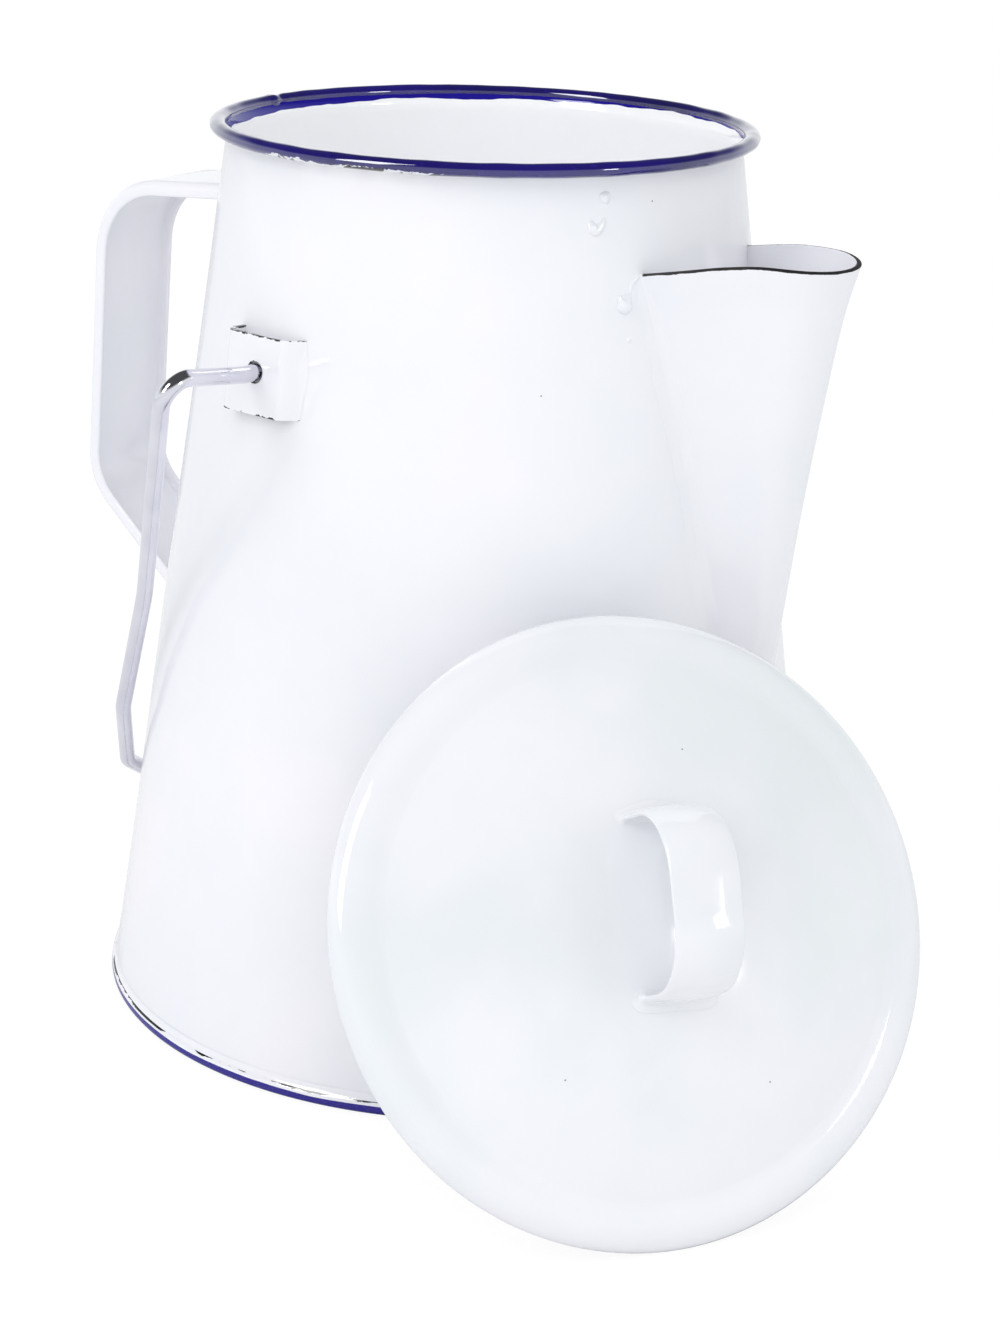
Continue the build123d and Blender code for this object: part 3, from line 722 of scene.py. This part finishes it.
# Bail: one length of bright plated steel wire, bent cold. Its ends turn in the ears and it hangs with its
# crown just clear of the back of the wall.
crown_reach, wire, wire_gap = 160.0, 4.0, 0.3
bail_half = [(0, 0), (6, 0), (37, -5.5), (4, 69), (-10.6, 112.4), (-25.2, 137.4)]
room = pivot.x + wall_radius(pivot.z) + (wire / 2 + wire_gap) * sqrt(1 + wall_taper ** 2)
tilt = atan(wall_taper) + asin(room * cos(atan(wall_taper)) / crown_reach)
half = [(wall_radius(pivot.z) + stand, along) for stand, along in bail_half]
crown_bend = half[-1][0] - 6.14
apex = crown_reach
for step in range(40):
    flank = atan2(half[-1][0], apex - half[-1][1])
    apex = crown_reach + crown_bend * (1 / sin(flank) - 1)
hang = Vector((-sin(tilt), 0, -cos(tilt)))
corners = half + [(0, apex)] + [(-a, b) for a, b in reversed(half)]
path = bent([pivot + Vector((0, -a, 0)) + hang * b for a, b in corners],
            [12, 5, 60, 15, 8, crown_bend, 8, 15, 60, 5, 12], step=1.6)
flat_side = Vector((0, 1, 0)).cross(hang)
section = [(wire / 2 * cos(2 * pi * k / 24), wire / 2 * sin(2 * pi * k / 24)) for k in range(24)]
frames = [(p, flat_side, d.cross(flat_side)) for p, d in path]
points, faces = swept(frames, section)
bright_plate = bpy.data.materials.new("bright_nickel_chrome_plate")
bright_plate.use_nodes = True
tree = bright_plate.node_tree
shader = tree.nodes["Principled BSDF"]
shader.inputs["Metallic"].default_value = 1.0
place = add(tree, "ShaderNodeTexCoord", {}).outputs["Object"]
dusty = add(tree, "ShaderNodeTexNoise", {"Vector": place, "Scale": 60.0, "Detail": 4.0})
tone = add(tree, "ShaderNodeMix",
           {"Factor": dusty.outputs["Fac"], "A": linear("#CBC9D6"), "B": linear("#F1F1F6")},
           data_type="RGBA")
tree.links.new(tone.outputs["Result"], shader.inputs["Base Color"])
smear = add(tree, "ShaderNodeMapRange",
            {"Value": dusty.outputs["Fac"], "From Min": 0.3, "From Max": 0.7, "To Min": 0.05, "To Max": 0.14})
tree.links.new(smear.outputs["Result"], shader.inputs["Roughness"])
drawn = add(tree, "ShaderNodeTexNoise", {"Vector": place, "Scale": 500.0, "Detail": 2.0})
scratch = add(tree, "ShaderNodeBump", {"Height": drawn.outputs["Fac"], "Distance": 0.00002, "Strength": 0.4})
tree.links.new(scratch.outputs["Normal"], shader.inputs["Normal"])
bail = pressed("wire_bail", points, faces, bright_plate, sharp=50)
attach(bail, "bail")
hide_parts("bail")

# Lid dish: a disc pressed to a shallow dome, creased over the collar, its brim rolled down to the edge.
# It stands on the floor on that edge and leans back on its collar.
collar_radius, collar_depth, lid_radius, dome_height, dome_radius = 60.0, 18.0, 70.4, 17.0, 162.0
lean, bearing, facing = radians(28.2), radians(-37.2), radians(-33.9)
lid_gap = 0.4
collar_height = lid_radius * cos(lean) - collar_depth * sin(lean) + collar_radius * cos(lean)
distance = (wall_radius(collar_height) + lid_gap * sqrt(1 + wall_taper ** 2)
            + collar_depth * cos(lean) + collar_radius * sin(lean))
across = Vector((-sin(facing), cos(facing), 0))
along = Vector((cos(lean) * cos(facing), cos(lean) * sin(facing), sin(lean)))
up = along.cross(across)
lid_place = Matrix((across, up, along)).transposed().to_4x4()
lid_place.translation = Vector((distance * cos(bearing), distance * sin(bearing), lid_radius * cos(lean)))


def dome(r, inset=0.0):
    """Height of the dome, or of a surface that far below it, at a distance from the lid's axis."""
    return dome_height - dome_radius + sqrt((dome_radius - inset) ** 2 - r * r)


brim = [(collar_radius, dome(collar_radius)), (62.2, 5.45), (65, 5.1), (67.2, 4.35), (68.9, 3.2), (69.9, 1.8),
        (lid_radius, 0.6)]
outline = [(r, dome(r)) for r in (0, 4, 10, 18, 26, 34, 42, 48, 53, 57, 59)] + brim
outline += [(lid_radius, 0.25), (70.15, 0.0), (69.55, 0.0), (69.25, 0.3), (69.2, 1.0), (68.75, 1.7),
            (67.9, 2.7),
            (66.6, 3.3), (64.8, 3.9), (62.2, 4.2), (collar_radius, dome(collar_radius, sheet))]
outline += [(r, dome(r, sheet)) for r in (58, 54, 48, 42, 34, 26, 18, 10, 4, 0)]
points, faces = turned(outline, 224, lid_place)
# Painted shade: the lid, collar and knob get a greyer, greener copy of the pot's white enamel, darker to
# stand in for the lid lying in less light than the pot.
lid_enamel_painted_shade, tree, shader, coat, place = vitreous_enamel("white_vitreous_enamel_lid_painted_shade", "#F3F2F7", "#EAEDF0")
lid_flaws = [(-5.2, 24.9), (12.9, 37.2), (-25.8, -30.2), (21.9, -37.5)]
spots = [lid_place @ Vector((x, y, dome(hypot(x, y)))) / 1000 for x, y in lid_flaws]
tree.links.new(flawed(tree, place, coat.outputs["Result"], spots), shader.inputs["Base Color"])
dish = pressed("domed_lid", [hammered(p, 0.15) for p in points], faces, lid_enamel_painted_shade, sharp=55)
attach(dish, "lid")
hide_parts("lid_dish")

# Lid collar: a straight ring of sheet welded under the dish, deep enough to hold the lid on as it pours.
bore = collar_radius - sheet
outline = [(collar_radius, -17.6), (collar_radius, -5), (collar_radius, 4.2), (bore, 4.6), (bore, -5),
           (bore, -17.6), (59.0, -collar_depth), (59.8, -collar_depth)]
points, faces = turned(outline, 192, lid_place)
collar = pressed("lid_ring", points, faces, lid_enamel_painted_shade)
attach(collar, "lid")
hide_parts("lid_collar")

# Knob: a strap with a swollen outer face, bent to a flat-topped loop and welded to the dome by its feet,
# where the enamel pooled in a soft fillet.
def on_dome(p):
    """The point of the dome straight under a point, along the lid's axis."""
    spot = lid_place.inverted() @ p
    return lid_place @ Vector((spot.x, spot.y, dome(hypot(spot.x, spot.y))))


turn = radians(3.2)
run = across * sin(turn) + up * cos(turn)
side_way = run.cross(along)
base = lid_place @ Vector((1.5, 3.5, 0))
knob_reach, knob_foot, knob_top, knob_bend = 21, 14.0, 40, 16
corners = [(-knob_reach, knob_foot), (-knob_reach, knob_top), (knob_reach, knob_top), (knob_reach, knob_foot)]
path = bent([base + run * a + along * b for a, b in corners], [knob_bend, knob_bend], step=1.5)
knob_half, knob_crown = 8.0, 1.0
swell = (knob_half ** 2 + knob_crown ** 2) / (2 * knob_crown)
reach = asin(knob_half / swell) * 180 / pi - 1.0
edge = [((swell - sheet / 2) * cos(radians(-90 + way * reach)),
         swell + (swell - sheet / 2) * sin(radians(-90 + way * reach)))
        for way in (-1, 1)]
section = arc(0, swell, swell, -90 - reach, -90 + reach, 16)
section += arc(*edge[1], sheet / 2, -90 + reach, 90 + reach, 6)[1:-1]
section += arc(0, swell, swell - sheet, -90 + reach, -90 - reach, 16)
section += arc(*edge[0], sheet / 2, 90 - reach, 270 - reach, 6)[1:-1]
frames = [(p, side_way, side_way.cross(d) * -1) for p, d in path]
points, faces = swept(frames, section)
ring = len(section)
feet = ((0, path[0][1], "knob_weld_lower", 2.2), (len(points) - ring, -path[-1][1], "knob_weld_upper", 1.8))
for first, way, name, leg in feet:
    seam = ringed(first, way, way, on_dome, 8)
    pooled(name, seam, "lid", "lid_knob", leg=leg, closed=True, coat=lid_enamel_painted_shade)
knob = pressed("lid_grip", points, faces, lid_enamel_painted_shade)
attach(knob, "lid")
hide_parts("lid_knob")

# Studio: a white sweep that turns to plain background and a bright even sky, stronger from the left. Three
# soft boxes give faint shadows. The left and right ones carry a white cloth each, seen only in reflection,
# which lies as a highlight on the bead, the brim and the knob.
floor_paint = bpy.data.materials.new("studio_white_sweep")
floor_paint.use_nodes = True
tree = floor_paint.node_tree
tree.nodes.clear()
matt = add(tree, "ShaderNodeBsdfDiffuse", {"Color": linear("#F2F2F3")})
glow = add(tree, "ShaderNodeEmission", {"Color": (1, 1, 1, 1), "Strength": 1.06})
rays = add(tree, "ShaderNodeLightPath", {})
seen = add(tree, "ShaderNodeMath", {0: rays.outputs["Is Camera Ray"], 1: 0.86}, operation="MULTIPLY")
floor_mix = add(tree, "ShaderNodeMixShader", {0: seen.outputs[0], 1: matt.outputs[0], 2: glow.outputs[0]})
add(tree, "ShaderNodeOutputMaterial", {"Surface": floor_mix.outputs[0]})
mesh = bpy.data.meshes.new("sweep")
mesh.from_pydata([(-4, -4, 0), (4, -4, 0), (4, 4, 0), (-4, 4, 0)], [], [(0, 1, 2, 3)])
mesh.materials.append(floor_paint)
sweep = bpy.data.objects.new("studio_sweep", mesh)
bpy.context.collection.objects.link(sweep)

world = bpy.data.worlds.new("studio_air")
bpy.context.scene.world = world
world.use_nodes = True
tree = world.node_tree
tree.nodes.clear()
rays = add(tree, "ShaderNodeLightPath", {})
toward = add(tree, "ShaderNodeTexCoord", {}).outputs["Generated"]
to_left = add(tree, "ShaderNodeVectorMath", {0: toward, 1: (-0.64, -0.77, 0.0)}, operation="DOT_PRODUCT")
fill = add(tree, "ShaderNodeMapRange",
           {"Value": to_left.outputs["Value"], "From Min": -1.0, "From Max": 1.0, "To Min": 0.67,
            "To Max": 0.73})
height = add(tree, "ShaderNodeSeparateXYZ", {"Vector": toward})
overhead = add(tree, "ShaderNodeMath", {0: height.outputs["Z"], 1: 0.36, 2: fill.outputs["Result"]},
               operation="MULTIPLY_ADD")
room = add(tree, "ShaderNodeMapRange",
           {"Value": height.outputs["Z"], "From Min": 0.15, "From Max": 0.55, "To Min": 1.0, "To Max": 0.08},
           interpolation_type="SMOOTHSTEP")
plain = add(tree, "ShaderNodeMath",
            {0: rays.outputs["Is Camera Ray"], 1: rays.outputs["Is Transmission Ray"]},
            operation="MAXIMUM")
level = add(tree, "ShaderNodeMix", {"Factor": plain.outputs[0], "A": overhead.outputs[0], "B": 1.0},
            data_type="FLOAT")
shiny = add(tree, "ShaderNodeMix", {"Factor": rays.outputs["Is Glossy Ray"], "A": level.outputs["Result"],
                                    "B": room.outputs["Result"]}, data_type="FLOAT")
tint = add(tree, "ShaderNodeMix",
           {"Factor": plain.outputs[0], "A": (0.975, 1.0, 1.0, 1.0), "B": (1, 1, 1, 1)},
           data_type="RGBA")
sky = add(tree, "ShaderNodeBackground",
          {"Color": tint.outputs["Result"], "Strength": shiny.outputs["Result"]})
add(tree, "ShaderNodeOutputWorld", {"Surface": sky.outputs[0]})

aim = Vector((0.006077, 0.004255, 0.081565))
lamp_distance, cloth_distance = 1.35, 1.36
for name, bearing, rise, size, power, tone, cloth, shine in (
        ("left_box", -106, 36, (0.42, 0.62), 2.2, (1.0, 0.94, 0.98), (0.40, 0.76), 11.0),
        ("right_box", -4, 17, (0.20, 0.30), 0.6, (0.97, 1.0, 1.0), (0.22, 0.24), 14.0),
        ("front_box", -62, 24, (1.0, 0.8), 1.5, (1.0, 1.0, 1.0), None, 0.0)):
    lamp = bpy.data.lights.new(name, "AREA")
    lamp.shape, lamp.size, lamp.size_y, lamp.energy, lamp.color = "RECTANGLE", *size, power, tone
    holder = bpy.data.objects.new(name, lamp)
    bpy.context.collection.objects.link(holder)
    holder.visible_glossy = False
    level_way = cos(radians(rise))
    way = Vector((level_way * cos(radians(bearing)), level_way * sin(radians(bearing)), sin(radians(rise))))
    holder.matrix_world = Matrix.LocRotScale(aim + way * lamp_distance, way.to_track_quat("Z", "Y"), None)
    if cloth is None:
        continue
    mesh = bpy.data.meshes.new(f"{name}_cloth")
    mesh.from_pydata([(x * cloth[0] / 2, y * cloth[1] / 2, 0)
                      for x, y in ((-1, -1), (1, -1), (1, 1), (-1, 1))], [], [(0, 1, 2, 3)])
    lit = bpy.data.materials.new(f"{name}_lit_cloth")
    lit.use_nodes = True
    lit.node_tree.nodes.clear()
    beam = add(lit.node_tree, "ShaderNodeEmission", {"Color": (1, 1, 1, 1), "Strength": shine})
    add(lit.node_tree, "ShaderNodeOutputMaterial", {"Surface": beam.outputs[0]})
    mesh.materials.append(lit)
    front = bpy.data.objects.new(f"{name}_cloth", mesh)
    bpy.context.collection.objects.link(front)
    front.matrix_world = Matrix.LocRotScale(aim + way * cloth_distance, way.to_track_quat("Z", "Y"), None)
    front.visible_camera = front.visible_diffuse = front.visible_transmission = front.visible_shadow = False

# A weak bulb of fill light stands in the pot, for the photograph's inside is nearly as pale as its outside.
bulb = bpy.data.lights.new("inside_fill", "POINT")
bulb.energy, bulb.shadow_soft_size = 0.05, 0.03
holder = bpy.data.objects.new("inside_fill", bulb)
bpy.context.collection.objects.link(holder)
holder.location = (0, 0, 0.11)
holder.visible_camera = holder.visible_glossy = False

# Camera: a short telephoto a little above the rim, turned to the spout's right-hand side.
eye = Vector((0.39057, -0.55779, 0.31934))
lens = bpy.data.cameras.new("camera")
lens.lens, lens.sensor_width, lens.sensor_height, lens.sensor_fit = 75.235, 36.0, 36.0, "VERTICAL"
viewer = bpy.data.objects.new("camera", lens)
bpy.context.collection.objects.link(viewer)
back = (eye - aim).normalized()
right = Vector((0, 0, 1)).cross(back).normalized()
over = back.cross(right)
roll = 0.030
rolled_right, rolled_over = right * cos(roll) + over * sin(roll), over * cos(roll) - right * sin(roll)
turned_to = Matrix((rolled_right, rolled_over, back)).transposed().to_4x4()
viewer.matrix_world = Matrix.Translation(eye) @ turned_to
bpy.context.scene.camera = viewer
bpy.context.scene.view_settings.view_transform = "Standard"
